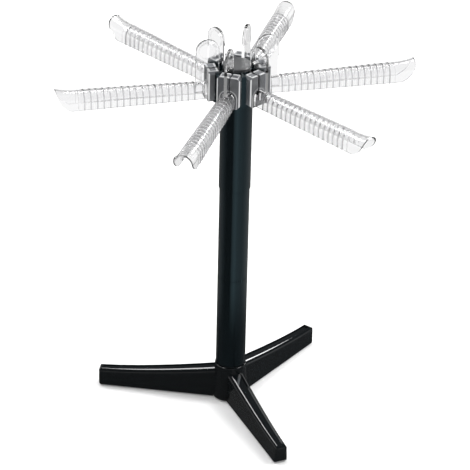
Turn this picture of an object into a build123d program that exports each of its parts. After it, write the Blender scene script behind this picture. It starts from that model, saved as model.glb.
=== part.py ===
from build123d import *
import math
import os

# A free-standing pasta drying rack: a three-legged base, a column in three sections that turns
# on the base, and a six-sided hub that carries six clear arms. Each arm plugs into a slot in the
# hub from above, and its upright finger grip lifts it out again. Millimetres and degrees, +Z up,
# origin on the floor under the middle of the column.

os.makedirs("parts", exist_ok=True)

# Whole object
overall_height = 420.0      # floor to the top of the finger grips
arm_reach = 186.0           # column axis to the tip of an arm
leg_reach = 141.2           # column axis to the end of a leg
arm_count = 6
leg_count = 3
column_count = 3
first_leg_angle = 30.0
first_arm_angle = -8.5      # the top stands turned a little against the legs
overrun = 2.0               # how far a cutting shape passes the face it cuts

# Fits between pieces
clearance = 0.3             # between pieces that move past each other
journal_clearance = 0.05    # radial running fit of the turning joint
turning_gap = 0.1           # axial gap over the thrust washer
fit_gap = 0.1               # between pieces that are pushed or screwed together
screw_gap = 0.05            # round a screw in its pilot hole
countersink_angle = 90.0

# Foot pads
pad_radius = 5.0
pad_stand = 1.5             # how far a pad stands out below its leg
pad_seat = 1.8              # how deep it sits in the leg
pad_inset = 10.2            # from the end of the leg to the middle of the pad

# Legs
leg_root_width = 19.8       # across the underside at the socket
leg_end_width = 14.6        # and at the end
leg_draft = 1.0             # how far each side leans in up to the shoulder
leg_root_height = 34.5      # top of the leg above the floor at the socket
leg_end_height = 20.0       # and at its end
leg_sweep = 1.5             # how strongly the top curves up towards the socket
leg_end_round = 4.5         # plan radius of the end corners
leg_end_top_round = 3.0
leg_end_foot_round = 2.0
leg_wall = 2.4              # the leg is a shell, open underneath
leg_shoulder = 5.5          # height of the rounded shoulder along each side
leg_shoulder_bulge = 1.5    # how far it stands out from a straight bevel
leg_ridge_root = 4.9        # from the middle of the leg to the ridge along its shoulder
leg_ridge_end = 3.8
leg_ridge_width = 0.5       # flat on top of each ridge
leg_groove_depth = 1.0
leg_groove_margin = 5.0     # from the end of the leg
tongue_neck_width = 4.0
tongue_neck_depth = 2.6
tongue_head_width = 8.0
tongue_head_depth = 2.4
tongue_height = 24.0

# Base socket and its cover
socket_radius = 16.4        # at its top
socket_foot_radius = 19.0
socket_height = 37.5
socket_edge_round = 0.8
cover_radius = 18.4
cover_thickness = 2.0
bore_depth = 28.0
bore_floor = 3.0
recess_radius = 7.4
cover_screw_place = 12.0    # distance of the cover screws from the axis
cover_screw_radius = 1.25
cover_screw_head_radius = 2.2
cover_screw_length = 10.0

# Turning joint
journal_radius = 8.0
journal_end_gap = 0.4
washer_thickness = 1.0
washer_inner_gap = 0.6
washer_outer_inset = 1.6
plug_height = 12.0
pivot_screw_radius = 2.0
pivot_screw_head_radius = 4.0
pivot_screw_head_height = 3.0
pivot_screw_length = 20.0
pivot_hole_gap = 0.4
pivot_washer_radius = 6.0
pivot_washer_thickness = 1.0

# Column sections
column_radius = 15.6
column_wall = 1.6
column_top_radius = 16.4
neck_wall = 1.8
neck_length = 12.0
neck_shoulder = 4.0
column_edge_round = 0.4
bulkhead_thickness = 3.0

# Hub
hub_height = 34.0
hub_radius = 28.5           # black core between the slot blocks
hub_floor = 6.5
spigot_length = 16.0
boss_radius = 14.4
web_thickness = 1.6
web_drop = 0.6              # tops of the webs below the tops of the blocks
cap_radius = 15.0
cap_seat = 2.5              # how far the cap sits down between the blocks
cap_thickness = 3.7
cap_edge = 0.6
cap_plug_length = 6.0
bolt_radius = 2.5
bolt_head_radius = 4.25
bolt_head_height = 5.0
bolt_hole_gap = 0.2
bolt_pocket_radius = 5.0
bolt_seat = 10.0            # bolt head's underside above the hub's floor
bolt_tail = 1.5             # bolt showing past its nut
nut_across_flats = 8.0
nut_thickness = 4.0

# Slot blocks, one under each arm
block_face = 32.0           # distance of the outer face from the axis
block_back = 21.8
block_width = 24.0
block_back_corner = 2.4
block_edge = 1.0
block_bottom_corner = 3.0
block_lip_width = 1.4       # rim left standing round the sunken top
block_lip_depth = 0.8
slot_floor = 6.8            # bottom of the slot above the bottom of the block
slot_lead = 0.9             # chamfer at the slot's mouth
block_screw_place = 24.8
block_screw_spread = 6.5
block_screw_radius = 1.25
block_screw_head_radius = 2.2
block_screw_length = 14.0

# Arms
arm_wall = 1.8
arm_rise = 2.6              # underside of the arm above the bottom of the hub
arm_root_width = 15.0
arm_root_height = 15.5
arm_root_wall = 2.4
arm_plain_width = 19.0      # where the ribs end and the smooth tip begins
arm_plain_height = 18.2
arm_plain_length = 23.0
arm_tip_width = 20.6
arm_tip_height = 21.4
tip_top_setback = 0.8
tip_bottom_setback = 15.5
tip_bulge = 4.6
rib_pitch = 6.6
rib_start = 13.0            # from the root of the arm to the first rib
rib_height = 0.6
rib_width = 1.2
fine_rib_height = 0.25
fine_rib_width = 0.6

# Finger grips
grip_thickness = 3.0
grip_width = 24.0
grip_middle = 31.0          # distance of the grip's centre line from the axis
grip_stand = 30.0           # top of the grip above the blocks
grip_edge = 0.5             # chamfer round the plate
grip_ridge_radii = (3.6, 6.2, 8.8)
grip_ridge_width = 0.8
grip_ridge_height = 0.35
key_width = 9.0             # T-shaped head behind the block
key_thickness = 2.4
key_drop = 3.0              # top of the head below the top of the block

# Heights worked out from the sizes above
cover_bottom = pad_stand
socket_bottom = cover_bottom + cover_thickness
socket_top = socket_bottom + socket_height
bore_bottom = socket_top - bore_depth
washer_top = socket_top + washer_thickness
column_bottom = washer_top + turning_gap
hub_bottom = overall_height - grip_stand - hub_height
block_top = hub_bottom + hub_height
section_length = (hub_bottom - column_bottom) / column_count
column_bore = column_radius - column_wall
neck_radius = column_bore - fit_gap
plug_radius = column_bore - fit_gap
bulkhead_top = hub_bottom - spigot_length
arm_bottom = hub_bottom + arm_rise
arm_root = block_face + clearance
arm_plain = arm_reach - arm_plain_length
slot_width = grip_thickness + 2 * clearance
cover_screw_angle = first_leg_angle + 180.0 / leg_count
leg_angles = [first_leg_angle + 360.0 / leg_count * n for n in range(leg_count)]
arm_angles = [first_arm_angle + 360.0 / arm_count * n for n in range(arm_count)]


def save(piece, name):
    """Label a finished piece and write it as its own STEP file."""
    piece.part.label = name
    export_step(piece.part, f"parts/{name}.step")


# Base socket: a thick round cup, wider at its foot, with a bore from above for the turning joint,
# a recess from below for the pivot screw, and three T slots that open downwards for the legs
tongue_root = socket_radius - tongue_neck_depth
tongue_back = tongue_root - tongue_head_depth
tongue_face = socket_foot_radius + overrun
with BuildPart() as base_socket:
    with BuildSketch(Plane.XZ):
        with BuildLine():
            Polyline(
                (0, socket_bottom),
                (socket_foot_radius, socket_bottom),
                (socket_radius, socket_top),
                (0, socket_top),
                close=True,
            )
        make_face()
    revolve(axis=Axis.Z)
    rim = base_socket.edges().filter_by(GeomType.CIRCLE).group_by(Axis.Z)[-1]
    fillet(rim, socket_edge_round)
    with BuildSketch(Plane.XY.offset(bore_bottom)):
        Circle(journal_radius + journal_clearance)
    extrude(amount=bore_depth + overrun, mode=Mode.SUBTRACT)
    with BuildSketch(Plane.XY.offset(socket_bottom)):
        Circle(recess_radius)
    extrude(amount=bore_bottom - bore_floor - socket_bottom, mode=Mode.SUBTRACT)
    with BuildSketch(Plane.XY.offset(socket_bottom)):
        Circle(pivot_screw_radius + pivot_hole_gap)
    extrude(amount=bore_depth, mode=Mode.SUBTRACT)
    with BuildSketch(Plane.XY.offset(socket_bottom)):
        with PolarLocations(0, leg_count, start_angle=first_leg_angle):
            with Locations(((tongue_root + tongue_face) / 2, 0)):
                Rectangle(tongue_face - tongue_root, tongue_neck_width + 2 * fit_gap)
            with Locations(((tongue_root + tongue_back) / 2, 0)):
                Rectangle(tongue_head_depth + 2 * fit_gap, tongue_head_width + 2 * fit_gap)
    extrude(amount=tongue_height + fit_gap, mode=Mode.SUBTRACT)
    with BuildSketch(Plane.XY.offset(socket_bottom)):
        with PolarLocations(cover_screw_place, leg_count, start_angle=cover_screw_angle):
            Circle(cover_screw_radius + screw_gap)
    extrude(amount=cover_screw_length, mode=Mode.SUBTRACT)
save(base_socket, "base_socket")

# Cover plate under the socket, which keeps the legs from dropping out of their slots
with BuildPart() as base_cover:
    with BuildSketch(Plane.XY.offset(cover_bottom)):
        Circle(cover_radius)
    extrude(amount=cover_thickness)
    with Locations(Plane.XY.offset(cover_bottom).rotated((180, 0, 0))):
        with PolarLocations(cover_screw_place, leg_count, start_angle=-cover_screw_angle):
            CounterSinkHole(
                radius=cover_screw_radius + screw_gap,
                counter_sink_radius=cover_screw_head_radius + screw_gap,
                counter_sink_angle=countersink_angle,
                depth=cover_thickness,
            )
save(base_cover, "base_cover")


def countersunk_screw(radius, head_radius, length):
    """A countersunk screw with its head's flat face at the origin and its shank pointing up."""
    head_height = (head_radius - radius) / math.tan(math.radians(countersink_angle / 2))
    with BuildPart() as screw:
        with BuildSketch(Plane.XZ):
            with BuildLine():
                Polyline(
                    (0, 0),
                    (head_radius, 0),
                    (radius, head_height),
                    (radius, length - radius),
                    (0, length),
                    close=True,
                )
            make_face()
        revolve(axis=Axis.Z)
    return screw.part


cover_screw = countersunk_screw(cover_screw_radius, cover_screw_head_radius, cover_screw_length)
with BuildPart() as base_cover_screws:
    with Locations((0, 0, cover_bottom)):
        with PolarLocations(cover_screw_place, leg_count, start_angle=cover_screw_angle):
            add(cover_screw)
save(base_cover_screws, "base_cover_screws")

# One leg along +X: a shell with drafted sides and rounded shoulders, its top sweeping up to the
# socket with a shallow groove between two ridges, and a T-shaped tongue at its root
leg_run = leg_reach - socket_radius
hollow_start = socket_foot_radius + leg_wall
hollow_end = leg_reach - pad_inset - pad_radius - leg_wall
hollow_drop = leg_wall + leg_groove_depth
leg_stations = [socket_radius - overrun + (leg_run + overrun) * n / 6 for n in range(7)]
hollow_stations = [hollow_start + (hollow_end - hollow_start) * n / 4 for n in range(5)]


def along_leg(x, root, end):
    """A size that changes evenly from the socket wall to the end of a leg."""
    return root + (x - socket_radius) / leg_run * (end - root)


def leg_height(x):
    """Height of a leg's top above the floor, which sweeps up towards the socket."""
    share = (leg_reach - x) / leg_run
    return leg_end_height + share ** leg_sweep * (leg_root_height - leg_end_height)


def leg_face(x, wall, top_wall, drop):
    """Cross-section of a leg at x, set in by its walls and dropped below its underside."""
    foot = along_leg(x, leg_root_width, leg_end_width) / 2 - wall
    side = foot - leg_draft
    ridge = along_leg(x, leg_ridge_root, leg_ridge_end) - wall / 2
    top = leg_height(x) - top_wall
    shoulder = top - leg_shoulder
    bulge = leg_shoulder_bulge / 2
    middle = ((side + ridge) / 2 + bulge, (top + shoulder) / 2 + bulge)
    with BuildSketch(Plane.YZ.offset(x)) as outline:
        with BuildLine():
            Polyline(
                (-side, shoulder),
                (-foot, pad_stand - drop),
                (foot, pad_stand - drop),
                (side, shoulder),
            )
            ThreePointArc((side, shoulder), middle, (ridge, top))
            Line((ridge, top), (-ridge, top))
            ThreePointArc((-ridge, top), (-middle[0], middle[1]), (-side, shoulder))
        make_face()
    return outline.sketch


def groove_face(x):
    """Cross-section of the cut that makes a leg's groove at x."""
    half = along_leg(x, leg_ridge_root, leg_ridge_end) - leg_ridge_width
    floor = leg_height(x) - leg_groove_depth
    with BuildSketch(Plane.YZ.offset(x)) as outline:
        with Locations((0, floor + leg_groove_depth / 2 + overrun / 2)):
            Rectangle(2 * half, leg_groove_depth + overrun)
    return outline.sketch


with BuildPart() as leg_form:
    loft([leg_face(x, 0, 0, 0) for x in leg_stations], ruled=True)
    with BuildSketch(Plane.XY):
        with BuildLine():
            Polyline(
                (0, -leg_root_width),
                (leg_reach, -leg_end_width / 2),
                (leg_reach, leg_end_width / 2),
                (0, leg_root_width),
                close=True,
            )
        make_face()
        fillet(vertices().group_by(Axis.X)[-1], leg_end_round)
    extrude(amount=2 * leg_root_height, mode=Mode.INTERSECT)
    with BuildSketch(Plane.XZ):
        with BuildLine():
            Polyline(
                (0, 2 * leg_root_height),
                (0, 0),
                (leg_reach - leg_end_foot_round, 0),
                (leg_reach - leg_end_foot_round, pad_stand),
            )
            RadiusArc(
                (leg_reach - leg_end_foot_round, pad_stand),
                (leg_reach, pad_stand + leg_end_foot_round),
                -leg_end_foot_round,
            )
            Line(
                (leg_reach, pad_stand + leg_end_foot_round),
                (leg_reach, leg_end_height - leg_end_top_round),
            )
            RadiusArc(
                (leg_reach, leg_end_height - leg_end_top_round),
                (leg_reach - leg_end_top_round, leg_end_height),
                -leg_end_top_round,
            )
            Polyline(
                (leg_reach - leg_end_top_round, leg_end_height),
                (leg_reach - leg_end_top_round, 2 * leg_root_height),
                (0, 2 * leg_root_height),
            )
        make_face()
    extrude(amount=leg_root_width, both=True, mode=Mode.INTERSECT)
    groove_stations = leg_stations[:-1] + [leg_reach - leg_groove_margin]
    loft([groove_face(x) for x in groove_stations], ruled=True, mode=Mode.SUBTRACT)
    with BuildSketch(Plane.XZ):
        with BuildLine():
            Polyline(
                (0, 0),
                (socket_foot_radius + fit_gap, 0),
                (socket_foot_radius + fit_gap, socket_bottom),
                (socket_radius + fit_gap, socket_top),
                (0, socket_top),
                close=True,
            )
        make_face()
    revolve(axis=Axis.Z, mode=Mode.SUBTRACT)
    with BuildSketch(Plane.XY.offset(socket_bottom)):
        with Locations(((tongue_root + tongue_face) / 2, 0)):
            Rectangle(tongue_face - tongue_root, tongue_neck_width)
        with Locations(((tongue_root + tongue_back) / 2, 0)):
            Rectangle(tongue_head_depth, tongue_head_width)
    extrude(amount=tongue_height)
    with BuildSketch(Plane.XY.offset(pad_stand)):
        with Locations((leg_reach - pad_inset, 0)):
            Circle(pad_radius + fit_gap)
    extrude(amount=pad_seat, mode=Mode.SUBTRACT)
    loft([leg_face(x, leg_wall, hollow_drop, overrun) for x in hollow_stations], ruled=True,
         mode=Mode.SUBTRACT)

# One foot pad, a low rubber disc with a rounded lower edge
with BuildPart() as pad_form:
    with BuildSketch(Plane.XY):
        with Locations((leg_reach - pad_inset, 0)):
            Circle(pad_radius)
    extrude(amount=pad_stand + pad_seat)
    fillet(pad_form.edges().filter_by(GeomType.CIRCLE).group_by(Axis.Z)[0], pad_stand / 3)

for number, angle in enumerate(leg_angles, start=1):
    with BuildPart() as leg:
        add(leg_form.part, rotation=(0, 0, angle))
    save(leg, f"leg_{number}")
    with BuildPart() as foot_pad:
        add(pad_form.part, rotation=(0, 0, angle))
    save(foot_pad, f"foot_pad_{number}")

# Thrust washer between the socket and the column, set back so that it shows as a dark line
with BuildPart() as thrust_washer:
    with BuildSketch(Plane.XY.offset(socket_top)):
        Circle(column_radius - washer_outer_inset)
        Circle(journal_radius + washer_inner_gap, mode=Mode.SUBTRACT)
    extrude(amount=washer_thickness)
save(thrust_washer, "thrust_washer")

# Turning plug: fills the foot of the column and carries the journal that runs in the socket
journal_bottom = bore_bottom + journal_end_gap
pivot_head_top = bore_bottom - bore_floor - clearance - pivot_washer_thickness
with BuildPart() as turning_plug:
    with BuildSketch(Plane.XY.offset(journal_bottom)):
        Circle(journal_radius)
    extrude(amount=column_bottom + plug_height - journal_bottom)
    with BuildSketch(Plane.XY.offset(column_bottom)):
        Circle(plug_radius)
    extrude(amount=plug_height)
    with BuildSketch(Plane.XY.offset(journal_bottom)):
        Circle(pivot_screw_radius + screw_gap)
    extrude(amount=pivot_screw_length, mode=Mode.SUBTRACT)
save(turning_plug, "turning_plug")

# Pivot screw and its washer, which hold the column down and turn with it
with BuildPart() as pivot_washer:
    with BuildSketch(Plane.XY.offset(pivot_head_top)):
        Circle(pivot_washer_radius)
        Circle(pivot_screw_radius + screw_gap, mode=Mode.SUBTRACT)
    extrude(amount=pivot_washer_thickness)
save(pivot_washer, "pivot_washer")

with BuildPart() as pivot_screw:
    with BuildSketch(Plane.XY.offset(pivot_head_top)):
        Circle(pivot_screw_radius)
    extrude(amount=pivot_screw_length)
    with BuildSketch(Plane.XY.offset(pivot_head_top)):
        Circle(pivot_screw_head_radius)
    extrude(amount=-pivot_screw_head_height)
save(pivot_screw, "pivot_screw")


def section_profile(bottom, radius):
    """Half section of a column piece with a stepped neck at its top, in radius and height."""
    top = bottom + section_length
    with BuildSketch(Plane.XZ) as profile:
        with BuildLine():
            Polyline(
                (column_bore, bottom),
                (radius, bottom),
                (radius, top),
                (neck_radius, top),
                (neck_radius, top + neck_length),
                (neck_radius - neck_wall, top + neck_length),
                (neck_radius - neck_wall, top - neck_shoulder),
                (column_bore, top - neck_shoulder),
                close=True,
            )
        make_face()
    return profile.sketch


# Lower and middle sections of the column, each with a neck that plugs into the one above
for level, name in enumerate(("column_lower", "column_middle")):
    with BuildPart() as section:
        revolve(section_profile(column_bottom + level * section_length, column_radius), axis=Axis.Z)
        circles = section.edges().filter_by(GeomType.CIRCLE)
        chamfer(circles.filter_by(lambda e: e.radius > column_bore + fit_gap), column_edge_round)
    save(section, name)

# Upper section, a little wider, with a bulkhead near its top for the hub bolt
upper_bottom = column_bottom + (column_count - 1) * section_length
with BuildPart() as column_upper:
    with BuildSketch(Plane.XY.offset(upper_bottom)):
        Circle(column_top_radius)
        Circle(column_bore, mode=Mode.SUBTRACT)
    extrude(amount=section_length)
    with BuildSketch(Plane.XY.offset(bulkhead_top)):
        Circle((column_top_radius + column_bore) / 2)
        Circle(bolt_radius + bolt_hole_gap, mode=Mode.SUBTRACT)
    extrude(amount=-bulkhead_thickness)
    lower_rim = column_upper.edges().filter_by(GeomType.CIRCLE).group_by(Axis.Z)[0]
    chamfer(lower_rim.sort_by(SortBy.RADIUS)[-1], column_edge_round)
save(column_upper, "column_upper")


def block_footprint(gap):
    """Plan outline of a slot block at angle zero, widened all round by a gap."""
    side = block_width / 2 + gap
    with BuildSketch() as outline:
        with BuildLine():
            Polyline(
                (block_back - gap, -side + block_back_corner),
                (block_back - gap + block_back_corner, -side),
                (block_face + gap, -side),
                (block_face + gap, side),
                (block_back - gap + block_back_corner, side),
                (block_back - gap, side - block_back_corner),
                close=True,
            )
        make_face()
    return outline.sketch


# Hub core: a floor, a spigot into the column, a central boss, and thin webs that part the six
# pockets behind the blocks and end in the posts that show between them
floor_top = hub_bottom + hub_floor
web_top = block_top - web_drop
boss_top = block_top - cap_seat
with BuildPart() as hub_core:
    with BuildSketch(Plane.XY.offset(hub_bottom)):
        Circle(hub_radius)
    extrude(amount=web_top - hub_bottom)
    with BuildSketch(Plane.XY.offset(floor_top)):
        RegularPolygon(
            block_back, arm_count, major_radius=False, rotation=first_arm_angle + 180.0 / arm_count)
        Circle(boss_radius, mode=Mode.SUBTRACT)
        with PolarLocations(0, arm_count, start_angle=first_arm_angle + 180.0 / arm_count):
            with Locations((block_back, 0)):
                Rectangle(2 * block_back, web_thickness, mode=Mode.SUBTRACT)
    extrude(amount=hub_height, mode=Mode.SUBTRACT)
    with BuildSketch(Plane.XY.offset(floor_top)):
        with PolarLocations(0, arm_count, start_angle=first_arm_angle):
            add(block_footprint(fit_gap))
    extrude(amount=hub_height, mode=Mode.SUBTRACT)
    with BuildSketch(Plane.XY.offset(boss_top)):
        Circle(boss_radius + overrun)
    extrude(amount=hub_height, mode=Mode.SUBTRACT)
    with BuildSketch(Plane.XY.offset(bulkhead_top)):
        Circle(plug_radius)
    extrude(amount=spigot_length)
    with BuildSketch(Plane.XY.offset(bulkhead_top)):
        Circle(bolt_radius + bolt_hole_gap)
    extrude(amount=spigot_length + hub_height, mode=Mode.SUBTRACT)
    with BuildSketch(Plane.XY.offset(floor_top + bolt_seat)):
        Circle(bolt_pocket_radius)
    extrude(amount=hub_height, mode=Mode.SUBTRACT)
    with Locations(Plane.XY.offset(hub_bottom).rotated((180, 0, 0))):
        with PolarLocations(0, arm_count, start_angle=-first_arm_angle):
            with Locations((block_screw_place, block_screw_spread), (block_screw_place, -block_screw_spread)):
                CounterSinkHole(
                    radius=block_screw_radius + screw_gap,
                    counter_sink_radius=block_screw_head_radius + screw_gap,
                    counter_sink_angle=countersink_angle,
                    depth=hub_floor,
                )
save(hub_core, "hub_core")

# One slot block at angle zero: a thick wall with an open-topped slot, a rim round its sunken
# top, and a step underneath that sits over the hub's floor
with BuildPart() as block_form:
    with BuildSketch(Plane.XY.offset(hub_bottom)):
        add(block_footprint(0))
    extrude(amount=hub_height)
    upright = block_form.edges().filter_by(Axis.Z).group_by(Axis.X)[-1]
    fillet(upright, block_edge)
    with BuildSketch(Plane.YZ.offset(block_face + overrun)):
        with Locations((0, hub_bottom + hub_height / 2)):
            Rectangle(block_width, hub_height)
        chamfer(
            [v for v in vertices() if v.Z < block_top - overrun],
            block_bottom_corner,
        )
    extrude(amount=-block_face, mode=Mode.INTERSECT)
    chamfer(block_form.faces().sort_by(Axis.Z)[-1].outer_wire().edges(), block_lip_depth / 2)
    with BuildSketch(Plane.XY.offset(block_top)):
        with Locations(((block_back + block_face) / 2, 0)):
            Rectangle(
                block_face - block_back - 2 * block_lip_width - block_edge,
                block_width - 2 * block_back_corner - block_lip_width,
            )
    extrude(amount=-block_lip_depth, mode=Mode.SUBTRACT)
    with BuildSketch(Plane.XY.offset(hub_bottom)):
        Circle(hub_radius + fit_gap)
    extrude(amount=hub_floor + fit_gap, mode=Mode.SUBTRACT)
    with BuildSketch(Plane.YZ.offset(block_face + overrun)):
        with Locations((0, (hub_bottom + slot_floor + block_top + overrun) / 2)):
            Rectangle(slot_width, hub_height - slot_floor + overrun)
        with BuildLine():
            Polyline(
                (-slot_width / 2 - slot_lead, block_top),
                (-slot_width / 2, block_top - slot_lead),
                (slot_width / 2, block_top - slot_lead),
                (slot_width / 2 + slot_lead, block_top),
                close=True,
            )
        make_face()
    extrude(amount=-block_face, mode=Mode.SUBTRACT)
    with BuildSketch(Plane.XY.offset(hub_bottom)):
        with Locations((block_screw_place, block_screw_spread), (block_screw_place, -block_screw_spread)):
            Circle(block_screw_radius + screw_gap)
    extrude(amount=block_screw_length, mode=Mode.SUBTRACT)

for number, angle in enumerate(arm_angles, start=1):
    with BuildPart() as slot_block:
        add(block_form.part, rotation=(0, 0, angle))
    save(slot_block, f"slot_block_{number}")

# Screws that come up through the hub's floor into the blocks, two to a block
block_screw = countersunk_screw(block_screw_radius, block_screw_head_radius, block_screw_length)
with BuildPart() as slot_block_screws:
    with Locations((0, 0, hub_bottom)):
        with PolarLocations(0, arm_count, start_angle=first_arm_angle):
            with Locations((block_screw_place, block_screw_spread), (block_screw_place, -block_screw_spread)):
                add(block_screw)
save(slot_block_screws, "slot_block_screws")

# Hub bolt, from inside the boss down through the bulkhead, and its nut
bolt_head_bottom = floor_top + bolt_seat
nut_bottom = bulkhead_top - bulkhead_thickness - nut_thickness
with BuildPart() as hub_bolt:
    with BuildSketch(Plane.XY.offset(nut_bottom - bolt_tail)):
        Circle(bolt_radius)
    extrude(amount=bolt_head_bottom - nut_bottom + bolt_tail)
    with BuildSketch(Plane.XY.offset(bolt_head_bottom)):
        Circle(bolt_head_radius)
    extrude(amount=bolt_head_height)
    with BuildSketch(Plane.XY.offset(bolt_head_bottom + bolt_head_height)):
        RegularPolygon(bolt_radius / 2, 6)
    extrude(amount=-bolt_radius, mode=Mode.SUBTRACT)
save(hub_bolt, "hub_bolt")

with BuildPart() as hub_nut:
    with BuildSketch(Plane.XY.offset(nut_bottom)):
        RegularPolygon(nut_across_flats / 2, 6, major_radius=False)
        Circle(bolt_radius + screw_gap, mode=Mode.SUBTRACT)
    extrude(amount=nut_thickness)
save(hub_nut, "hub_nut")

# Centre cap over the boss, with a plug that pushes into the bolt pocket
with BuildPart() as centre_cap:
    with BuildSketch(Plane.XY.offset(boss_top)):
        Circle(cap_radius)
    extrude(amount=cap_thickness)
    chamfer(centre_cap.edges().filter_by(GeomType.CIRCLE).group_by(Axis.Z)[-1], cap_edge)
    with BuildSketch(Plane.XY.offset(boss_top)):
        Circle(bolt_pocket_radius - fit_gap)
    extrude(amount=-cap_plug_length)
save(centre_cap, "centre_cap")


def channel_width(x):
    """Outer width of an arm at a distance from the column axis."""
    if x <= arm_plain:
        share = (x - arm_root) / (arm_plain - arm_root)
        return arm_root_width + share * (arm_plain_width - arm_root_width)
    share = (x - arm_plain) / (arm_reach - arm_plain)
    return arm_plain_width + share * (arm_tip_width - arm_plain_width)


def channel_height(x):
    """Height of an arm at a distance from the column axis; it sweeps up towards the tip."""
    if x <= arm_plain:
        share = (x - arm_root) / (arm_plain - arm_root)
        return arm_root_height + share * (arm_plain_height - arm_root_height)
    share = (x - arm_plain) / (arm_reach - arm_plain)
    return arm_plain_height + share ** 2 * (arm_tip_height - arm_plain_height)


def channel_face(x, growth, drop):
    """Round-topped cross-section of an arm at x, grown outwards and dropped below its base."""
    half = channel_width(x) / 2 + growth
    crown = arm_bottom + channel_height(x) + growth
    with BuildSketch(Plane.YZ.offset(x)) as outline:
        with BuildLine():
            Polyline(
                (-half, crown - half),
                (-half, arm_bottom - drop),
                (half, arm_bottom - drop),
                (half, crown - half),
            )
            ThreePointArc((half, crown - half), (0, crown), (-half, crown - half))
        make_face()
    return outline.sketch


def rib_set(height, width, start, count):
    """Raised bands across an arm, every rib pitch from a start."""
    with BuildPart() as ribs:
        with BuildSketch(Plane.XY.offset(arm_bottom)):
            with Locations((start + rib_pitch * (count - 1) / 2, 0)):
                with GridLocations(rib_pitch, 0, count, 1):
                    Rectangle(width, 2 * arm_tip_width)
        extrude(amount=2 * arm_tip_height)
        loft([channel_face(arm_root, height, 0), channel_face(arm_plain, height, 0)], ruled=True,
             mode=Mode.INTERSECT)
    return ribs.part


# One arm along +X: a clear upturned channel, ribbed along its length and smooth at its tip, with
# the finger grip standing at its root and a T-shaped key that slides into the slot block
first_rib = arm_root + rib_start
rib_count = int((arm_plain - first_rib) / rib_pitch) + 1
tip_stations = [arm_plain + arm_plain_length * share for share in (0, 1 / 3, 2 / 3, 1)]
tip_top = (arm_reach - tip_top_setback, arm_bottom + arm_tip_height + overrun)
tip_foot = (arm_reach - tip_bottom_setback, arm_bottom)
tip_lean = math.atan2(tip_top[0] - tip_foot[0], tip_top[1] - tip_foot[1])
tip_belly = (
    (tip_top[0] + tip_foot[0]) / 2 + tip_bulge * math.cos(tip_lean),
    (tip_top[1] + tip_foot[1]) / 2 - tip_bulge * math.sin(tip_lean),
)
grip_centre = overall_height - grip_width / 2
key_bottom = hub_bottom + slot_floor + clearance
key_back = block_back - clearance - key_thickness
with BuildPart() as grip_plate:
    with BuildSketch(Plane.XZ):
        with Locations((grip_middle, (key_bottom + grip_centre) / 2)):
            Rectangle(grip_width, grip_centre - key_bottom)
        with Locations((grip_middle, grip_centre)):
            Circle(grip_width / 2)
    extrude(amount=grip_thickness / 2, both=True)
    chamfer(grip_plate.faces().filter_by(Axis.Y).edges(), grip_edge)
    with BuildSketch(Plane.XZ):
        with Locations((grip_middle, grip_centre)):
            for radius in grip_ridge_radii:
                Circle(radius + grip_ridge_width / 2)
                Circle(radius - grip_ridge_width / 2, mode=Mode.SUBTRACT)
    extrude(amount=grip_thickness / 2 + grip_ridge_height, both=True)

with BuildPart() as arm_form:
    loft([channel_face(x, 0, 0) for x in [arm_root] + tip_stations], ruled=True)
    add(rib_set(rib_height, rib_width, first_rib, rib_count))
    for step in (1 / 3, 2 / 3):
        add(rib_set(fine_rib_height, fine_rib_width, first_rib + rib_pitch * step, rib_count - 1))
    cavity = [arm_root + arm_root_wall] + tip_stations
    loft([channel_face(x, -arm_wall, overrun) for x in cavity], ruled=True, mode=Mode.SUBTRACT)
    with BuildSketch(Plane.XZ):
        with BuildLine():
            ThreePointArc(tip_top, tip_belly, tip_foot)
            Polyline(
                tip_foot,
                (tip_foot[0], tip_foot[1] - overrun),
                (arm_reach + overrun, tip_foot[1] - overrun),
                (arm_reach + overrun, tip_top[1]),
                tip_top,
            )
        make_face()
    extrude(amount=arm_tip_width, both=True, mode=Mode.SUBTRACT)
    add(grip_plate.part)
    with BuildSketch(Plane.XY.offset(key_bottom)):
        with Locations((key_back + key_thickness / 2, 0)):
            Rectangle(key_thickness, key_width)
    extrude(amount=block_top - key_drop - key_bottom)

for number, angle in enumerate(arm_angles, start=1):
    with BuildPart() as arm:
        add(arm_form.part, rotation=(0, 0, angle))
    save(arm, f"arm_{number}")
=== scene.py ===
import math

import bpy
from mathutils import Matrix, Vector

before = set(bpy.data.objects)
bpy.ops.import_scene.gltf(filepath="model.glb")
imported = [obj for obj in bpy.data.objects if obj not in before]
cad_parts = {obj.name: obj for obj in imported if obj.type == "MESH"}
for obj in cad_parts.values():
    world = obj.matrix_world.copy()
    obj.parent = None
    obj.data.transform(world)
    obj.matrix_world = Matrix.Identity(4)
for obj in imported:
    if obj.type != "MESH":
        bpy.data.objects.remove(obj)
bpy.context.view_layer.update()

bl_info = {
    "name": "Pasta drying rack",
    "version": (1, 0, 0),
    "blender": (4, 5, 0),
    "location": "View3D > Sidebar > Rack",
    "description": "Finishes the pieces of a pasta drying rack and sets up its studio",
    "category": "Object",
}

BASE_NODES = ("base_socket", "base_cover")
LEG_NODES = ("leg_1", "leg_2", "leg_3")
PAD_NODES = ("foot_pad_1", "foot_pad_2", "foot_pad_3")
COLUMN_NODES = ("turning_plug", "column_lower", "column_middle", "column_upper")
BLOCK_NODES = tuple(f"slot_block_{n}" for n in range(1, 7))
ARM_NODES = tuple(f"arm_{n}" for n in range(1, 7))
WASHER_NODES = ("thrust_washer", "pivot_washer")
STEEL_NODES = ("base_cover_screws", "pivot_screw", "slot_block_screws", "hub_bolt", "hub_nut")

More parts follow.
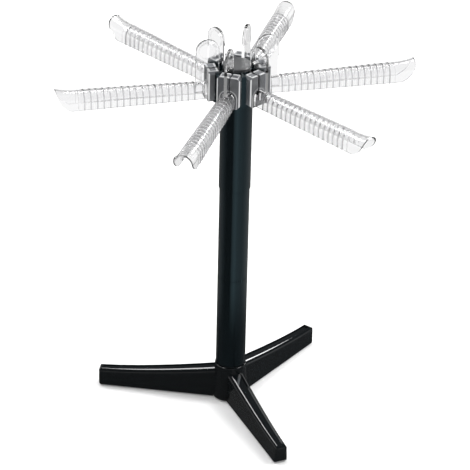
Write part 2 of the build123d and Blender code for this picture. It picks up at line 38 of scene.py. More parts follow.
# Where the painted highlights on the hub's rims and grip edges lie, in metres: along or off an
# arm's direction, or above the floor
BLOCK_FACE = (0.0313, 0.034)
BLOCK_SIDE = (0.0111, 0.0125)
BLOCK_TOP = (0.3896, 0.392)
ARCH_CENTRE = 0.3666
ARCH_RADIUS = (0.0088, 0.0093)
GRIP_EDGE = (0.0421, 0.0436)
GRIP_HEIGHT = (0.3745, 0.396)
RIM_SOFT = 0.0003
GRIP_SOFT = 0.001

# Half the width of a rib's band and the width of its soft edge
RIB_BAND = (0.0004, 0.0006)
FINE_BAND = (0.0001, 0.0004)
RIBS_PER_PITCH = 3.0

# Depth of surface marks on polished plastic
MARK_DEPTH = 0.00004
BLACK_IOR = 1.5
GREY_IOR = 1.5
CLEAR_IOR = 1.49
BLOCK_THROUGH = 0.45
BLOCK_ROUGHNESS = 0.06
CAP_ROUGHNESS = 0.16
# Strength of the painted highlight on the arches and tops of the slot blocks against the upright
# rims
ARCH_SHARE = 0.5
TOP_SHARE = 0.7

# Painted reflection: how bright the floor looks in gloss alone, by degrees to the right of the
# camera round the rack
PAINTED_GLOSS_ROUND = ((-180, 0.12), (-134, 0.2), (-100, 0.3), (-75, 0.18), (-60, 0.08), (-18, 0.08),
               (-8, 0.6), (10, 0.9), (30, 0.6), (66, 0.4), (100, 0.45), (140, 0.3), (180, 0.12))
# Distances from the column between which the darker painted reflection near it gives way to that,
# and then to plain white
NEAR_PAINTED_GLOSS = (0.13, 0.27)
FAR_GLOSS = (0.9, 2.2)
# Heights, as shares of the sky's, between which the white surroundings give way to the room
ROOM_EDGE = (0.02, 0.25)
# The side that more of the light comes from, in degrees to the right of the camera
SKY_TURN = 95
# Lamps: name, degrees to the right of the camera, distance, height, height aimed at, size, power
LAMPS = (
    ("lamp_right", 100, 1.3, 1.8, 0.2, (0.8, 0.8), "key_power"),
    ("lamp_left", -126, 1.12, 1.55, 0, (0.3, 1.2), "fill_power"),
    ("lamp_back", -170, 1.0, 1.9, 0, (1.0, 0.3), "rim_power"),
    ("lamp_edge", 141, 1.7, 1.12, 0, (0.4, 0.3), "edge_power"),
    ("lamp_top", -96, 0.6, 1.56, 0, (0.5, 0.25), "top_power"),
)


class RackFinish(bpy.types.PropertyGroup):
    """Colours and surface values of the rack's materials."""
    black_color: bpy.props.FloatVectorProperty(
        name="Black plastic", description="Colour of the base, column and hub core",
        subtype="COLOR", size=3, min=0, max=1, default=(0.004, 0.0055, 0.0065))
    black_roughness: bpy.props.FloatProperty(
        name="Black roughness", description="Roughness of the polished black plastic",
        subtype="FACTOR", min=0, max=1, default=0.06)
    base_sheen: bpy.props.FloatVectorProperty(
        name="Base sheen", description="Tint of what the base and legs mirror",
        subtype="COLOR", size=3, min=0, max=1, default=(1.0, 1.0, 1.0))
    column_sheen: bpy.props.FloatVectorProperty(
        name="Column sheen", description="Tint of what the column and hub core mirror",
        subtype="COLOR", size=3, min=0, max=1, default=(0.5, 0.85, 1.0))
    clear_color: bpy.props.FloatVectorProperty(
        name="Clear plastic", description="Tint of the arms",
        subtype="COLOR", size=3, min=0, max=1, default=(0.985, 0.985, 0.99))
    clear_roughness: bpy.props.FloatProperty(
        name="Clear roughness", description="Roughness of the clear plastic",
        subtype="FACTOR", min=0, max=1, default=0.03)
    arm_turn: bpy.props.FloatProperty(
        name="First arm", description="Direction of the first arm round the column",
        subtype="ANGLE", default=math.radians(-8.5))
    # Painted shade: the dark lines that refraction draws along the ribs, painted into the plastic's
    # tint
    rib_shade_color: bpy.props.FloatVectorProperty(
        name="Ribs", description="Tint of the clear plastic along the ribs of the arms",
        subtype="COLOR", size=3, min=0, max=1, default=(0.5, 0.5, 0.52))
    rib_relief: bpy.props.FloatProperty(
        name="Rib relief", description="Relief of the ribs, against that of the surface marks",
        min=0, default=6.0)
    fine_rib_share: bpy.props.FloatProperty(
        name="Fine ribs", description="Strength of the fine ribs against the others",
        subtype="FACTOR", min=0, max=1, default=0.1)
    # Painted shade: the ribs' dark lines, weaker where seen through other clear plastic
    far_rib_shade_share: bpy.props.FloatProperty(
        name="Ribs behind", description="Strength of ribs seen through other clear plastic",
        subtype="FACTOR", min=0, max=1, default=0.1)
    # Painted highlight: emission glowing along the slot blocks' rims
    rim_painted_highlight: bpy.props.FloatProperty(
        name="Rims", description="Light that the rims of the slot blocks carry to their edges",
        min=0, default=0.6)
    # Painted highlight: emission glowing along the grips' outer edges
    grip_painted_highlight: bpy.props.FloatProperty(
        name="Grip edge", description="Light that the finger grips carry to their outer edges",
        min=0, default=0.25)
    grey_color: bpy.props.FloatVectorProperty(
        name="Grey plastic", description="Colour of the centre cap",
        subtype="COLOR", size=3, min=0, max=1, default=(0.09, 0.092, 0.094))
    block_color: bpy.props.FloatVectorProperty(
        name="Slot block plastic", description="Tint of the slot blocks",
        subtype="COLOR", size=3, min=0, max=1, default=(0.25, 0.26, 0.275))
    rubber_color: bpy.props.FloatVectorProperty(
        name="Rubber", description="Colour of the foot pads",
        subtype="COLOR", size=3, min=0, max=1, default=(0.02, 0.02, 0.021))
    steel_color: bpy.props.FloatVectorProperty(
        name="Steel", description="Colour of the screws, the bolt and the nut",
        subtype="COLOR", size=3, min=0, max=1, default=(0.56, 0.57, 0.58))
    washer_color: bpy.props.FloatVectorProperty(
        name="Washer plastic", description="Colour of the washers of the turning joint",
        subtype="COLOR", size=3, min=0, max=1, default=(0.05, 0.05, 0.052))


class RackStudio(bpy.types.PropertyGroup):
    """Camera, lamps and floor."""
    camera_distance: bpy.props.FloatProperty(
        name="Camera distance", description="From the camera to the point it is levelled on",
        unit="LENGTH", min=0.1, default=2.8376)
    camera_height: bpy.props.FloatProperty(
        name="Levelled height", description="Height of that point on the rack's axis",
        unit="LENGTH", min=0, default=0.2559)
    camera_azimuth: bpy.props.FloatProperty(
        name="Camera azimuth", description="Direction of the camera, from the X axis",
        subtype="ANGLE", default=math.radians(-112.8))
    camera_elevation: bpy.props.FloatProperty(
        name="Camera elevation", description="Height of the camera above the horizon",
        subtype="ANGLE", default=math.radians(28.18))
    camera_drop: bpy.props.FloatProperty(
        name="Camera drop", description="How far below that point the camera aims",
        subtype="ANGLE", default=math.radians(1.0843))
    camera_swing: bpy.props.FloatProperty(
        name="Camera swing", description="How far to the right of that point the camera aims",
        subtype="ANGLE", default=math.radians(0.038))
    camera_roll: bpy.props.FloatProperty(
        name="Camera roll", description="Turn of the camera about its own axis",
        subtype="ANGLE", default=math.radians(1.39))
    lens: bpy.props.FloatProperty(
        name="Lens", description="Focal length on a 36 mm sensor", min=1, default=212.06)
    key_power: bpy.props.FloatProperty(
        name="Key power", description="Power of the large lamp at the right",
        subtype="POWER", unit="POWER", min=0, default=22)
    fill_power: bpy.props.FloatProperty(
        name="Fill power", description="Power of the tall lamp behind at the left",
        subtype="POWER", unit="POWER", min=0, default=12)
    rim_power: bpy.props.FloatProperty(
        name="Rim power", description="Power of the lamp behind and above",
        subtype="POWER", unit="POWER", min=0, default=10)
    edge_power: bpy.props.FloatProperty(
        name="Edge power", description="Power of the small lamp far round to the right",
        subtype="POWER", unit="POWER", min=0, default=7)
    top_power: bpy.props.FloatProperty(
        name="Top power", description="Power of the lamp high up at the left",
        subtype="POWER", unit="POWER", min=0, default=5.5)
    sky_level: bpy.props.FloatProperty(
        name="Room level", description="Level of the light that comes from all round",
        min=0, default=0.55)
    side_share: bpy.props.FloatProperty(
        name="One-sidedness", description="How much more of that light comes from the right",
        subtype="FACTOR", min=0, max=1, default=0.95)
    # Painted reflection: how dark gloss alone sees the floor between the legs
    near_painted_gloss: bpy.props.FloatProperty(
        name="Near floor in gloss", description="How bright gloss sees the floor between the legs",
        min=0, default=0.1)
    room_level: bpy.props.FloatProperty(
        name="Room in gloss", description="How bright gloss sees the room above",
        min=0, default=0.1)
    room_through: bpy.props.FloatProperty(
        name="Room through glass", description="How bright the room looks through clear plastic",
        min=0, default=0.5)
    through_level: bpy.props.FloatProperty(
        name="Floor through glass", description="How bright the floor looks through clear plastic",
        min=0, default=0.97)
    floor_color: bpy.props.FloatVectorProperty(
        name="Floor", description="Colour of the floor",
        subtype="COLOR", size=3, min=0, max=1, default=(0.86, 0.86, 0.86))
    floor_lift: bpy.props.FloatProperty(
        name="Floor lift", description="Light added to the floor as the camera sees it",
        min=0, default=0.12)
    floor_size: bpy.props.FloatProperty(
        name="Floor size", description="Side of the floor", unit="LENGTH", min=0, default=30)


# Node helpers

def add_node(tree, kind, **values):
    """A new shader node; each value goes to the attribute of that name."""
    node = tree.nodes.new(kind)
    for name, value in values.items():
        setattr(node, name, value)
    return node


def plug(tree, node, name, value):
    """Links an output to a named input, or sets the input where the value is plain."""
    socket = node.inputs[name]
    if isinstance(value, bpy.types.NodeSocket):
        tree.links.new(value, socket)
    else:
        socket.default_value = value


def math_node(tree, operation, first, second=0.0, clamp=False):
    """Output of a maths step on one or two numbers."""
    node = add_node(tree, "ShaderNodeMath", operation=operation, use_clamp=clamp)
    plug(tree, node, 0, first)
    plug(tree, node, 1, second)
    return node.outputs[0]


def range_node(tree, value, low, high, to_low, to_high, smooth=False):
    """Output of a step that carries one range over to another."""
    node = add_node(tree, "ShaderNodeMapRange",
                    interpolation_type="SMOOTHSTEP" if smooth else "LINEAR")
    plug(tree, node, "Value", value)
    plug(tree, node, "From Min", low)
    plug(tree, node, "From Max", high)
    plug(tree, node, "To Min", to_low)
    plug(tree, node, "To Max", to_high)
    return node.outputs["Result"]


def noise_node(tree, vector, scale, detail=3.0, roughness=0.5):
    """Output of a noise texture."""
    node = add_node(tree, "ShaderNodeTexNoise")
    plug(tree, node, "Vector", vector)
    plug(tree, node, "Scale", scale)
    plug(tree, node, "Detail", detail)
    plug(tree, node, "Roughness", roughness)
    return node.outputs["Fac"]


def stretched(tree, vector, scale, turn):
    """Coordinates turned and scaled."""
    node = add_node(tree, "ShaderNodeMapping")
    plug(tree, node, "Vector", vector)
    plug(tree, node, "Rotation", turn)
    plug(tree, node, "Scale", scale)
    return node.outputs["Vector"]


def new_group(name, inputs, outputs):
    """An empty node group with its sockets, and its input and output nodes."""
    group = bpy.data.node_groups.new(name, "ShaderNodeTree")
    for label, kind, default in inputs:
        socket = group.interface.new_socket(name=label, in_out="INPUT", socket_type=kind)
        if default is not None:
            socket.default_value = default
    for label, kind in outputs:
        group.interface.new_socket(name=label, in_out="OUTPUT", socket_type=kind)
    return group, add_node(group, "NodeGroupInput"), add_node(group, "NodeGroupOutput")


def handling_group():
    """Hairline scratches and soft handling marks on polished plastic."""
    group, source, target = new_group(
        "handling_marks",
        [("Vector", "NodeSocketVector", None), ("Roughness", "NodeSocketFloat", 0.1),
         ("Marks", "NodeSocketFloat", 0.05), ("Scratches", "NodeSocketFloat", 1.0)],
        [("Roughness", "NodeSocketFloat"), ("Height", "NodeSocketFloat")])
    vector = source.outputs["Vector"]
    first = noise_node(group, stretched(group, vector, (40, 900, 900), (0.3, 0.5, 0.2)), 1.0, 2.0)
    second = noise_node(group, stretched(group, vector, (900, 50, 900), (0.9, 0.2, 1.1)), 1.0, 2.0)
    lines = math_node(group, "MAXIMUM", range_node(group, first, 0.66, 0.74, 0, 1),
                      range_node(group, second, 0.67, 0.75, 0, 1))
    lines = math_node(group, "MULTIPLY", lines, source.outputs["Scratches"])
    blotches = noise_node(group, vector, 38.0, 4.0, 0.6)
    marks = range_node(group, blotches, 0.42, 0.7, 0, 1, smooth=True)
    marks = math_node(group, "MULTIPLY", marks, source.outputs["Marks"])
    haze = math_node(group, "MULTIPLY", lines, 0.12)
    rough = math_node(group, "ADD", source.outputs["Roughness"], marks)
    rough = math_node(group, "ADD", rough, haze, clamp=True)
    wave = noise_node(group, vector, 60.0, 2.0, 0.4)
    height = math_node(group, "SUBTRACT", wave, math_node(group, "MULTIPLY", lines, 0.15))
    plug(group, target, "Roughness", rough)
    plug(group, target, "Height", height)
    return group


def grain_group():
    """Fine even grain, as on rubber, cast metal and natural plastic."""
    group, source, target = new_group(
        "fine_grain",
        [("Vector", "NodeSocketVector", None), ("Scale", "NodeSocketFloat", 2000.0),
         ("Color", "NodeSocketColor", (0.5, 0.5, 0.5, 1)), ("Variation", "NodeSocketFloat", 0.1),
         ("Roughness", "NodeSocketFloat", 0.5)],
        [("Color", "NodeSocketColor"), ("Roughness", "NodeSocketFloat"),
         ("Height", "NodeSocketFloat")])
    vector = source.outputs["Vector"]
    grain = noise_node(group, vector, source.outputs["Scale"], 4.0, 0.6)
    patches = noise_node(group, vector, 90.0, 3.0)
    swing = math_node(group, "MULTIPLY", math_node(group, "SUBTRACT", patches, 0.5),
                      source.outputs["Variation"])
    shade = math_node(group, "ADD", 1.0, swing)
    tone = add_node(group, "ShaderNodeMix", data_type="RGBA", blend_type="MULTIPLY")
    plug(group, tone, "Factor", 1.0)
    group.links.new(source.outputs["Color"], tone.inputs[6])
    group.links.new(shade, tone.inputs[7])
    plug(group, target, "Color", tone.outputs[2])
    plug(group, target, "Roughness",
         math_node(group, "ADD", source.outputs["Roughness"], swing, clamp=True))
    plug(group, target, "Height", grain)
    return group


def band_mask(tree, place, pitch, half, soft):
    """One on narrow bands every pitch along a length, fading to nothing over a soft edge."""
    share = math_node(tree, "FRACT", math_node(tree, "ADD", math_node(
        tree, "DIVIDE", place, pitch), 0.5))
    offset = math_node(tree, "MULTIPLY", math_node(
        tree, "ABSOLUTE", math_node(tree, "SUBTRACT", share, 0.5)), pitch)
    return range_node(tree, offset, half, half + soft, 1, 0, smooth=True)


def span_mask(tree, value, span, soft):
    """One between the two ends of a span, fading to nothing over a soft edge."""
    low, high = span
    offset = math_node(tree, "ABSOLUTE", math_node(tree, "SUBTRACT", value, (low + high) / 2))
    half = (high - low) / 2
    return range_node(tree, offset, half, half + soft, 1, 0, smooth=True)


def flat_length(tree, first, second):
    """Length of the line that two numbers span at right angles."""
    pair = add_node(tree, "ShaderNodeCombineXYZ")
    plug(tree, pair, "X", first)
    plug(tree, pair, "Y", second)
    length = add_node(tree, "ShaderNodeVectorMath", operation="LENGTH")
    plug(tree, length, 0, pair.outputs["Vector"])
    return length.outputs["Value"]


def spoke_axes(tree, vector, turn):
    """Distances along the nearest of six spokes and off it, and the height."""
    axes = add_node(tree, "ShaderNodeSeparateXYZ")
    plug(tree, axes, "Vector", vector)
    angle = math_node(tree, "ARCTAN2", axes.outputs["Y"], axes.outputs["X"])
    spacing = 2 * math.pi / len(ARM_NODES)
    steps = math_node(tree, "DIVIDE", math_node(tree, "SUBTRACT", angle, turn), spacing)
    nearest = math_node(tree, "ROUND", steps)
    off = math_node(tree, "MULTIPLY", math_node(tree, "SUBTRACT", steps, nearest), spacing)
    distance = flat_length(tree, axes.outputs["X"], axes.outputs["Y"])
    along = math_node(tree, "MULTIPLY", distance, math_node(tree, "COSINE", off))
    across = math_node(tree, "MULTIPLY", distance, math_node(tree, "SINE", off))
    return along, across, axes.outputs["Z"]


def rim_highlight_group():
    """Masks of painted highlights: rims of the slot blocks, the arches round the arms' roots, and
    the grips' outer edges.
    """
    group, source, target = new_group(
        "hub_rims",
        [("Vector", "NodeSocketVector", None), ("Turn", "NodeSocketFloat", 0.0)],
        [("Rims", "NodeSocketFloat"), ("Grips", "NodeSocketFloat")])
    along, across, height = spoke_axes(group, source.outputs["Vector"], source.outputs["Turn"])
    off = math_node(group, "ABSOLUTE", across)
    face = span_mask(group, along, BLOCK_FACE, RIM_SOFT)
    sides = math_node(group, "MULTIPLY", face, span_mask(group, off, BLOCK_SIDE, RIM_SOFT))
    above = math_node(group, "MAXIMUM", math_node(group, "SUBTRACT", height, ARCH_CENTRE), 0.0)
    radius = flat_length(group, off, above)
    arch = math_node(group, "MULTIPLY", face, span_mask(group, radius, ARCH_RADIUS, RIM_SOFT))
    top = span_mask(group, height, BLOCK_TOP, RIM_SOFT)
    rims = math_node(group, "MAXIMUM", sides, math_node(group, "MULTIPLY", arch, ARCH_SHARE))
    rims = math_node(group, "MAXIMUM", rims, math_node(group, "MULTIPLY", top, TOP_SHARE))
    grips = math_node(group, "MULTIPLY", span_mask(group, along, GRIP_EDGE, RIM_SOFT),
                      span_mask(group, height, GRIP_HEIGHT, GRIP_SOFT))
    plug(group, target, "Rims", rims)
    plug(group, target, "Grips", grips)
    return group


def rib_group():
    """Bands across the arms: a mask of the moulded ribs and of the finer ones between them."""
    group, source, target = new_group(
        "arm_ribs",
        [("Vector", "NodeSocketVector", None), ("Pitch", "NodeSocketFloat", 0.0066),
         ("Start", "NodeSocketFloat", 0.0453), ("End", "NodeSocketFloat", 0.1635),
         ("Turn", "NodeSocketFloat", 0.0)],
        [("Ribs", "NodeSocketFloat"), ("Fine", "NodeSocketFloat")])
    along = spoke_axes(group, source.outputs["Vector"], source.outputs["Turn"])[0]
    place = math_node(group, "SUBTRACT", along, source.outputs["Start"])
    pitch = source.outputs["Pitch"]
    inside = math_node(group, "MULTIPLY", math_node(group, "GREATER_THAN", place, -0.001),
                       math_node(group, "LESS_THAN", along, source.outputs["End"]))
    ribs = band_mask(group, place, pitch, *RIB_BAND)
    fine = band_mask(group, place, math_node(group, "DIVIDE", pitch, RIBS_PER_PITCH), *FINE_BAND)
    plug(group, target, "Ribs", math_node(group, "MULTIPLY", ribs, inside))
    plug(group, target, "Fine", math_node(group, "MULTIPLY", fine, inside))
    return group


def place_group(tree, name, **values):
    """A node of the named group, which is made the first time."""
    group = bpy.data.node_groups.get(name)
    if group is None:
        group = {"handling_marks": handling_group, "fine_grain": grain_group,
                 "arm_ribs": rib_group, "hub_rims": rim_highlight_group}[name]()
    node = add_node(tree, "ShaderNodeGroup", node_tree=group)
    for label, value in values.items():
        plug(tree, node, label, value)
    return node


def new_material(name):
    """A material with its shader, output and object coordinates."""
    material = bpy.data.materials.new(name)
    material.use_nodes = True
    tree = material.node_tree
    shader = tree.nodes["Principled BSDF"]
    coordinates = add_node(tree, "ShaderNodeTexCoord")
    return material, tree, shader, coordinates.outputs["Object"]


def bump(tree, shader, height, distance):
    """Relief of the given depth on a material."""
    node = add_node(tree, "ShaderNodeBump")
    plug(tree, node, "Height", height)
    plug(tree, node, "Distance", distance)
    plug(tree, shader, "Normal", node.outputs["Normal"])


def paint_edge_highlight(tree, shader, mask, level):
    """Painted highlight: emission along a mask of edges, though the part is no lamp."""
    tone = math_node(tree, "MULTIPLY", mask, level)
    plug(tree, shader, "Emission Color", tone)
    shader.inputs["Emission Strength"].default_value = 1.0


def with_alpha(color):
    return (*color, 1.0)


def black_material(name, finish, sheen):
    """Polished black plastic, with the tint of what it mirrors."""
    material, tree, shader, vector = new_material(name)
    marks = place_group(tree, "handling_marks", Vector=vector, Roughness=finish.black_roughness,
                        Marks=0.03, Scratches=0.3)
    shader.inputs["Base Color"].default_value = with_alpha(finish.black_color)
    shader.inputs["Specular Tint"].default_value = with_alpha(sheen)
    shader.inputs["IOR"].default_value = BLACK_IOR
    plug(tree, shader, "Roughness", marks.outputs["Roughness"])
    bump(tree, shader, marks.outputs["Height"], MARK_DEPTH)
    return material


def clear_material(name, color, roughness):
    """Clear plastic with fine scratches, and what is needed to add to it."""
    material, tree, shader, vector = new_material(name)
    marks = place_group(tree, "handling_marks", Vector=vector, Roughness=roughness,
                        Marks=0.03, Scratches=0.5)
    shader.inputs["Base Color"].default_value = with_alpha(color)
    shader.inputs["Transmission Weight"].default_value = 1.0
    shader.inputs["IOR"].default_value = CLEAR_IOR
    plug(tree, shader, "Roughness", marks.outputs["Roughness"])
    bump(tree, shader, marks.outputs["Height"], MARK_DEPTH)
    return material, tree, shader, vector


def ribbed_material(finish):
    """The clear plastic of the arms, with painted shade making it a little darker along the ribs,
    and a painted highlight glowing on the grips' outer edges.
    """
    material, tree, shader, vector = clear_material(
        "clear_plastic", finish.clear_color, finish.clear_roughness)
    bands = place_group(tree, "arm_ribs", Vector=vector, Turn=finish.arm_turn)
    lines = math_node(tree, "MAXIMUM", bands.outputs["Ribs"], math_node(
        tree, "MULTIPLY", bands.outputs["Fine"], finish.fine_rib_share), clamp=True)
    rays = add_node(tree, "ShaderNodeLightPath")
    seen = range_node(tree, rays.outputs["Is Camera Ray"], 0, 1, finish.far_rib_shade_share, 1)
    # Painted shade along the ribs, full for the camera and weaker through other clear plastic
    tint = add_node(tree, "ShaderNodeMix", data_type="RGBA")
    plug(tree, tint, "Factor", math_node(tree, "MULTIPLY", lines, seen))
    tint.inputs[6].default_value = with_alpha(finish.clear_color)
    tint.inputs[7].default_value = with_alpha(finish.rib_shade_color)
    plug(tree, shader, "Base Color", tint.outputs[2])
    relief = shader.inputs["Normal"].links[0].from_node
    marks = relief.inputs["Height"].links[0].from_socket
    plug(tree, relief, "Height", math_node(
        tree, "ADD", marks, math_node(tree, "MULTIPLY", lines, finish.rib_relief)))
    rims = place_group(tree, "hub_rims", Vector=vector, Turn=finish.arm_turn)
    # Painted highlight glowing along the grips' outer edges
    paint_edge_highlight(tree, shader, rims.outputs["Grips"], finish.grip_painted_highlight)
    return material


def block_material(finish):
    """Smoky plastic of the slot blocks, with a painted highlight glowing along their rims."""
    material, tree, shader, vector = clear_material(
        "smoke_plastic", finish.block_color, BLOCK_ROUGHNESS)
    shader.inputs["Transmission Weight"].default_value = BLOCK_THROUGH
    rims = place_group(tree, "hub_rims", Vector=vector, Turn=finish.arm_turn)
    # Painted highlight glowing along the rims
    paint_edge_highlight(tree, shader, rims.outputs["Rims"], finish.rim_painted_highlight)
    return material


def grey_material(finish):
    """Moulded grey plastic of the centre cap."""
    material, tree, shader, vector = new_material("grey_plastic")
    marks = place_group(tree, "handling_marks", Vector=vector, Roughness=CAP_ROUGHNESS,
                        Marks=0.05, Scratches=0.7)
    shader.inputs["Base Color"].default_value = with_alpha(finish.grey_color)
    shader.inputs["IOR"].default_value = GREY_IOR
    plug(tree, shader, "Roughness", marks.outputs["Roughness"])
    bump(tree, shader, marks.outputs["Height"], MARK_DEPTH)
    return material


def grained_material(name, color, roughness, scale, depth, metallic=0.0):
    """A plain material with an even grain of the given scale and depth."""
    material, tree, shader, vector = new_material(name)
    grain = place_group(tree, "fine_grain", Vector=vector, Scale=scale, Color=with_alpha(color),
                        Variation=0.25, Roughness=roughness)
    plug(tree, shader, "Base Color", grain.outputs["Color"])
    plug(tree, shader, "Roughness", grain.outputs["Roughness"])
    shader.inputs["Metallic"].default_value = metallic
    bump(tree, shader, grain.outputs["Height"], depth)
    return material


def dress(names, material):
    """Gives the named CAD pieces a material."""
    for name in names:
        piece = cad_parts[name]
        if not piece.material_slots:
            piece.data.materials.append(material)
        for slot in piece.material_slots:
            slot.material = material


# Operators

class RACK_OT_base(bpy.types.Operator):
    """Finish the base socket and its cover"""
    bl_idname = "rack.base"
    bl_label = "Finish base"

    def execute(self, context):
        finish = context.scene.rack_finish
        dress(BASE_NODES + LEG_NODES, black_material(
            "base_black_plastic", finish, finish.base_sheen))
        return {"FINISHED"}


class RACK_OT_column(bpy.types.Operator):
    """Finish the turning column and the hub core on it"""
    bl_idname = "rack.column"
    bl_label = "Finish column"

    def execute(self, context):
        finish = context.scene.rack_finish
        dress(COLUMN_NODES + ("hub_core",), black_material(
            "column_black_plastic", finish, finish.column_sheen))
        return {"FINISHED"}


class RACK_OT_blocks(bpy.types.Operator):
    """Finish the slot blocks and the centre cap"""
    bl_idname = "rack.blocks"
    bl_label = "Finish slot blocks"

    def execute(self, context):
        finish = context.scene.rack_finish
        dress(BLOCK_NODES, block_material(finish))
        dress(("centre_cap",), grey_material(finish))
        return {"FINISHED"}


class RACK_OT_arms(bpy.types.Operator):
    """Finish the clear arms with their finger grips"""
    bl_idname = "rack.arms"
    bl_label = "Finish arms"

    def execute(self, context):
        dress(ARM_NODES, ribbed_material(context.scene.rack_finish))
        return {"FINISHED"}


class RACK_OT_fittings(bpy.types.Operator):
    """Finish the foot pads, the washers and the steel fasteners"""
    bl_idname = "rack.fittings"
    bl_label = "Finish fittings"

    def execute(self, context):
        finish = context.scene.rack_finish
        dress(PAD_NODES, grained_material("pad_rubber", finish.rubber_color, 0.75, 2600, 0.00006))
        dress(WASHER_NODES, grained_material(
            "washer_plastic", finish.washer_color, 0.45, 1800, 0.00002))
        dress(STEEL_NODES, grained_material(
            "screw_steel", finish.steel_color, 0.3, 5200, 0.00001, metallic=1.0))
        return {"FINISHED"}


def add_camera(studio):
    """A camera that looks down at the rack, a little below and beside its levelled point."""
    back = Vector((
        math.cos(studio.camera_azimuth) * math.cos(studio.camera_elevation),
        math.sin(studio.camera_azimuth) * math.cos(studio.camera_elevation),
        math.sin(studio.camera_elevation)))
    place = Vector((0, 0, studio.camera_height)) + back * studio.camera_distance
    dip = studio.camera_elevation + studio.camera_drop
    heading = studio.camera_azimuth - studio.camera_swing
    aim = Vector((
        -math.cos(heading) * math.cos(dip),
        -math.sin(heading) * math.cos(dip),
        -math.sin(dip)))
    bpy.ops.object.camera_add(location=place)
    camera = bpy.context.object
    camera.name = "camera"
    camera.rotation_mode = "QUATERNION"
    level = aim.to_track_quat("-Z", "Y")
    camera.rotation_quaternion = level @ Matrix.Rotation(studio.camera_roll, 4, "Z").to_quaternion()
    camera.data.lens = studio.lens
    camera.data.sensor_width = 36
    camera.data.clip_start = 0.05
    camera.data.clip_end = 200
    bpy.context.scene.camera = camera


def add_lamp(name, place, aim, size, power):
    """A rectangular area lamp that faces a point."""
    turn = (Vector(aim) - Vector(place)).to_track_quat("-Z", "Y").to_euler()
    bpy.ops.object.light_add(type="AREA", location=place, rotation=turn)
    lamp = bpy.context.object
    lamp.name = name
    lamp.data.shape = "RECTANGLE"
    lamp.data.size = size[0]
    lamp.data.size_y = size[1]
    lamp.data.energy = power


def around(camera_angle, turn, distance, height):
    """A place at an angle round the rack, counted to the right of the camera."""
    angle = camera_angle + math.radians(turn)
    return (distance * math.cos(angle), distance * math.sin(angle), height)


def ramp_node(tree, factor, stops):
    """A colour ramp used as a curve: stops are pairs of position and value."""
    node = add_node(tree, "ShaderNodeValToRGB")
    plug(tree, node, "Fac", factor)
    elements = node.color_ramp.elements
    for element, (position, value) in zip((elements[0], elements[1]), (stops[0], stops[-1])):
        element.position = position
        element.color = (value, value, value, 1)
    for position, value in stops[1:-1]:
        element = elements.new(position)
        element.color = (value, value, value, 1)
    return node.outputs["Color"]


def floor_material(studio):
    """A pale floor that keeps the rack's shadow; gloss sees a painted reflection on it instead,
    darker near the column and varied round the rack, fading to white far off.
    """
    material, tree, shader, vector = new_material("floor")
    rays = add_node(tree, "ShaderNodeLightPath")
    grain = place_group(tree, "fine_grain", Vector=vector, Scale=600,
                        Color=with_alpha(studio.floor_color), Variation=0.02, Roughness=0.5)
    plug(tree, shader, "Base Color", grain.outputs["Color"])
    shader.inputs["Roughness"].default_value = 0.5
    shader.inputs["Specular IOR Level"].default_value = 0.2
    shader.inputs["Emission Color"].default_value = (1, 1, 1, 1)
    plug(tree, shader, "Emission Strength", math_node(
        tree, "MULTIPLY", rays.outputs["Is Camera Ray"], studio.floor_lift))
    turned = stretched(tree, vector, (1, 1, 1), (0, 0, -studio.camera_azimuth))
    axes = add_node(tree, "ShaderNodeSeparateXYZ")
    plug(tree, axes, "Vector", turned)
    angle = math_node(tree, "ARCTAN2", axes.outputs["Y"], axes.outputs["X"])
    share = range_node(tree, angle, -math.pi, math.pi, 0, 1)
    stops = [((turn + 180) / 360, value) for turn, value in PAINTED_GLOSS_ROUND]
    # Painted reflection: what gloss sees of the floor, by direction round the rack and distance
    # from the column
    painted_gloss_light = add_node(tree, "ShaderNodeEmission")
    through = rays.outputs["Is Transmission Ray"]
    span = add_node(tree, "ShaderNodeVectorMath", operation="LENGTH")
    plug(tree, span, 0, vector)
    far = range_node(tree, span.outputs["Value"], *FAR_GLOSS, 0, 1, smooth=True)
    wide = range_node(tree, span.outputs["Value"], *NEAR_PAINTED_GLOSS, studio.near_painted_gloss,
                      ramp_node(tree, share, stops), smooth=True)
    painted_reflection = math_node(tree, "MAXIMUM", far, wide)
    level = add_node(tree, "ShaderNodeMix", data_type="FLOAT")
    plug(tree, level, "Factor", through)
    tree.links.new(painted_reflection, level.inputs[2])
    level.inputs[3].default_value = studio.through_level
    plug(tree, painted_gloss_light, "Strength", level.outputs[0])
    mix = add_node(tree, "ShaderNodeMixShader")
    plug(tree, mix, "Fac", math_node(tree, "MAXIMUM", rays.outputs["Is Glossy Ray"], through))
    tree.links.new(shader.outputs["BSDF"], mix.inputs[1])
    tree.links.new(painted_gloss_light.outputs["Emission"], mix.inputs[2])
    tree.links.new(mix.outputs["Shader"], tree.nodes["Material Output"].inputs["Surface"])
    return material


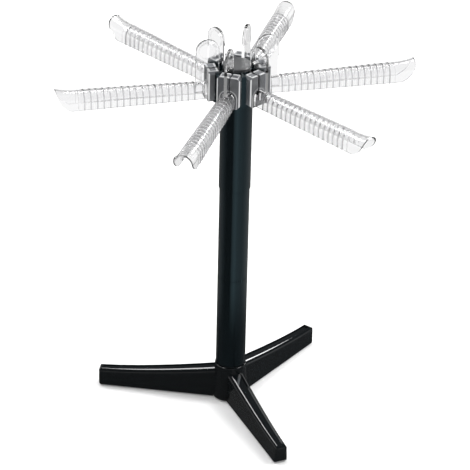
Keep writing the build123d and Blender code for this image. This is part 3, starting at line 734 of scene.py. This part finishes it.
def set_world(studio):
    """White for the camera; gloss and glass see white low down and a dim room above."""
    world = bpy.data.worlds.new("studio")
    world.use_nodes = True
    bpy.context.scene.world = world
    tree = world.node_tree
    background = tree.nodes["Background"]
    rays = add_node(tree, "ShaderNodeLightPath")
    through = rays.outputs["Is Transmission Ray"]
    bent = math_node(tree, "MAXIMUM", rays.outputs["Is Glossy Ray"], through)
    upper = range_node(tree, through, 0, 1, studio.room_level, studio.room_through)
    coordinates = add_node(tree, "ShaderNodeTexCoord")
    axes = add_node(tree, "ShaderNodeSeparateXYZ")
    plug(tree, axes, "Vector", coordinates.outputs["Object"])
    room = range_node(tree, axes.outputs["Z"], *ROOM_EDGE, 1.0, upper, smooth=True)
    side = add_node(tree, "ShaderNodeVectorMath", operation="DOT_PRODUCT")
    plug(tree, side, 0, coordinates.outputs["Object"])
    plug(tree, side, 1, around(studio.camera_azimuth, SKY_TURN,
                               studio.sky_level * studio.side_share, 0))
    sky = math_node(tree, "ADD", side.outputs["Value"], studio.sky_level)
    plain = range_node(tree, rays.outputs["Is Camera Ray"], 0, 1, sky, 1.0)
    level = add_node(tree, "ShaderNodeMix", data_type="FLOAT")
    plug(tree, level, "Factor", bent)
    tree.links.new(plain, level.inputs[2])
    tree.links.new(room, level.inputs[3])
    plug(tree, background, "Color", (1, 1, 1, 1))
    plug(tree, background, "Strength", level.outputs[0])


class RACK_OT_stage(bpy.types.Operator):
    """Set up the camera, the lamps, the pale floor and the white surroundings"""
    bl_idname = "rack.stage"
    bl_label = "Set up studio"

    def execute(self, context):
        studio = context.scene.rack_studio
        bpy.ops.object.select_all(action="DESELECT")
        add_camera(studio)
        for name, turn, distance, height, aim, size, power in LAMPS:
            place = around(studio.camera_azimuth, turn, distance, height)
            add_lamp(name, place, (0, 0, aim), size, getattr(studio, power))
        bpy.ops.object.select_all(action="DESELECT")
        bpy.ops.mesh.primitive_plane_add(size=1)
        floor = context.object
        floor.name = "floor"
        floor.data.transform(Matrix.Diagonal((studio.floor_size, studio.floor_size, 1, 1)))
        floor.data.materials.append(floor_material(studio))
        set_world(studio)
        context.scene.view_settings.view_transform = "Standard"
        return {"FINISHED"}


class RACK_PT_panel(bpy.types.Panel):
    """Finishes and studio of the pasta drying rack"""
    bl_label = "Pasta drying rack"
    bl_idname = "RACK_PT_panel"
    bl_space_type = "VIEW_3D"
    bl_region_type = "UI"
    bl_category = "Rack"

    def draw(self, context):
        for group in (context.scene.rack_finish, context.scene.rack_studio):
            for name in group.__annotations__:
                self.layout.prop(group, name)
        for step in STEPS:
            self.layout.operator(step.bl_idname)


STEPS = (RACK_OT_base, RACK_OT_column, RACK_OT_blocks, RACK_OT_arms, RACK_OT_fittings,
         RACK_OT_stage)
CLASSES = (RackFinish, RackStudio) + STEPS + (RACK_PT_panel,)


def register():
    for cls in CLASSES:
        bpy.utils.register_class(cls)
    bpy.types.Scene.rack_finish = bpy.props.PointerProperty(type=RackFinish)
    bpy.types.Scene.rack_studio = bpy.props.PointerProperty(type=RackStudio)


def unregister():
    del bpy.types.Scene.rack_studio
    del bpy.types.Scene.rack_finish
    for cls in reversed(CLASSES):
        bpy.utils.unregister_class(cls)


def main():
    register()
    bpy.ops.rack.base()
    bpy.ops.rack.column()
    bpy.ops.rack.blocks()
    bpy.ops.rack.arms()
    bpy.ops.rack.fittings()
    bpy.ops.rack.stage()


if __name__ == "__main__":
    main()
